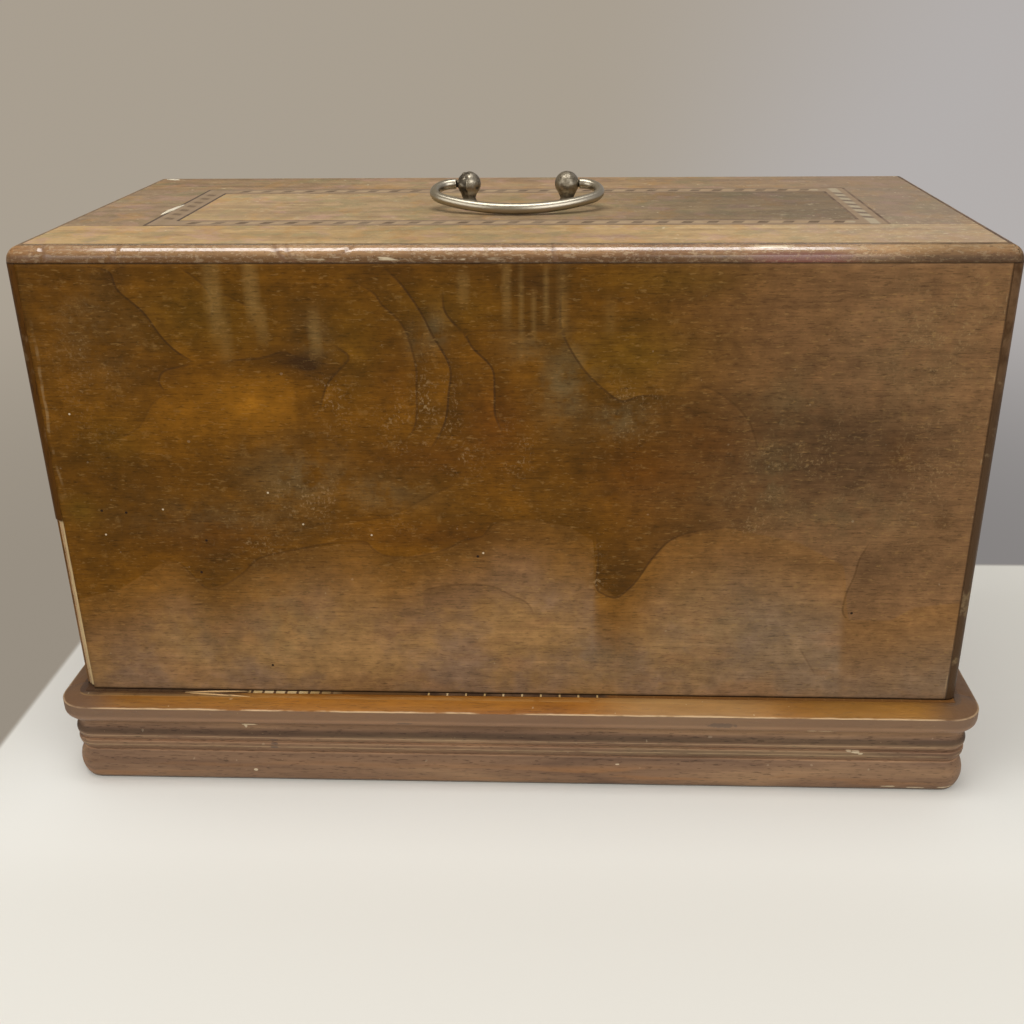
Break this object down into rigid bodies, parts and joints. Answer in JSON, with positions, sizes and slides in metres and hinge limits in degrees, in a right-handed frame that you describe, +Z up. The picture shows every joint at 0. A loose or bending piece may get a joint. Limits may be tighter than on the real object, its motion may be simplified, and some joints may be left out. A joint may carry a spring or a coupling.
{
  "type": "sewing machine case",
  "caption": "Veneered wooden carrying case: a box-shaped cover with a folding bail handle lifts off a moulded base with a cut-out for a portable machine.",
  "frame": {"origin": "middle of the base's underside, on the table", "axes": "+X along the case to its right end, +Y from the front to the back, +Z up"},
  "size_m": [0.515, 0.262, 0.3228],
  "materials": {
    "ledge_wood": "worn shellac over walnut, paler along the edge",
    "moulding_wood": "dark stained beech, dull",
    "carcase_wood": "bare planed softwood",
    "wall_veneer": "figured walnut veneer, worn satin polish",
    "corner_wood": "red-brown stained, glossy where handled",
    "top_veneer": "sun-bleached walnut veneer, dull",
    "end_border_veneer": "grey-brown veneer, dull",
    "dark_inlay": "dark stained inlay",
    "pale_inlay": "pale maple inlay",
    "plated_metal": "worn nickel plating with pits",
    "iron": "dull iron",
    "brass": "dull brass"
  },
  "bodies": {
    "base": {"front_ledge_rail": "ledge_wood", "back_ledge_rail": "ledge_wood", "left_ledge_rail": "ledge_wood", "right_ledge_rail": "ledge_wood", "front_bead_rail": "moulding_wood", "back_bead_rail": "moulding_wood", "left_bead_rail": "moulding_wood", "right_bead_rail": "moulding_wood", "front_plinth_rail": "moulding_wood", "back_plinth_rail": "moulding_wood", "left_plinth_rail": "moulding_wood", "right_plinth_rail": "moulding_wood", "bottom_board": "carcase_wood", "bed_rest_blocks": "carcase_wood", "ledge_inlay_strip": "dark_inlay", "ledge_inlay_blocks": "pale_inlay", "left_staple": "iron", "right_staple": "iron", "staple_screws": "iron", "machine_hinge_plates": "iron", "machine_hinge_axles": "iron", "machine_hinge_screws": "iron"},
    "cover": {"cover_front_board": "carcase_wood", "cover_back_board": "carcase_wood", "cover_left_board": "carcase_wood", "cover_right_board": "carcase_wood", "cover_front_veneer": "wall_veneer", "cover_back_veneer": "wall_veneer", "cover_left_veneer": "wall_veneer", "cover_right_veneer": "wall_veneer", "front_left_corner_strip": "corner_wood", "front_right_corner_strip": "corner_wood", "back_left_corner_strip": "corner_wood", "back_right_corner_strip": "corner_wood", "cover_glue_blocks": "carcase_wood", "cover_top_board": "carcase_wood", "front_top_moulding": "corner_wood", "back_top_moulding": "corner_wood", "left_top_moulding": "corner_wood", "right_top_moulding": "corner_wood", "top_field_veneer": "top_veneer", "front_border_veneer": "top_veneer", "back_border_veneer": "top_veneer", "left_border_veneer": "end_border_veneer", "right_border_veneer": "end_border_veneer", "inlay_lines": "dark_inlay", "inlay_band": "pale_inlay", "inlay_slips": "dark_inlay", "left_handle_post": "plated_metal", "right_handle_post": "plated_metal", "handle_nuts_and_washers": "iron", "left_lock_case": "iron", "right_lock_case": "iron", "lock_screws": "iron", "keyhole_liners": "brass"},
    "bail": {"bail_handle": "plated_metal"},
    "left_bolt": {"left_lock_bolt": "brass"},
    "right_bolt": {"right_lock_bolt": "brass"},
    "left_pin": {"left_machine_pin": "iron"},
    "right_pin": {"right_machine_pin": "iron"}
  },
  "joints": [
    {"name": "cover_lift", "type": "slide", "parent": "base", "child": "cover", "axis": [0, 0, 1], "range_m": [0, 0.3]},
    {"name": "bail_swing", "type": "hinge", "parent": "cover", "child": "bail", "pos_m": [0, 0, 0.316], "axis": [-1, 0, 0], "range_deg": [0, 148]},
    {"name": "left_bolt_slide", "type": "slide", "parent": "cover", "child": "left_bolt", "axis": [0, -1, 0], "range_m": [0, 0.009]},
    {"name": "right_bolt_slide", "type": "slide", "parent": "cover", "child": "right_bolt", "axis": [0, -1, 0], "range_m": [0, 0.009]},
    {"name": "left_pin_swing", "type": "hinge", "parent": "base", "child": "left_pin", "pos_m": [-0.11, 0.0837, 0.049], "axis": [-1, 0, 0], "range_deg": [0, 90]},
    {"name": "right_pin_swing", "type": "hinge", "parent": "base", "child": "right_pin", "pos_m": [0.11, 0.0837, 0.049], "axis": [-1, 0, 0], "range_deg": [0, 90]}
  ]
}
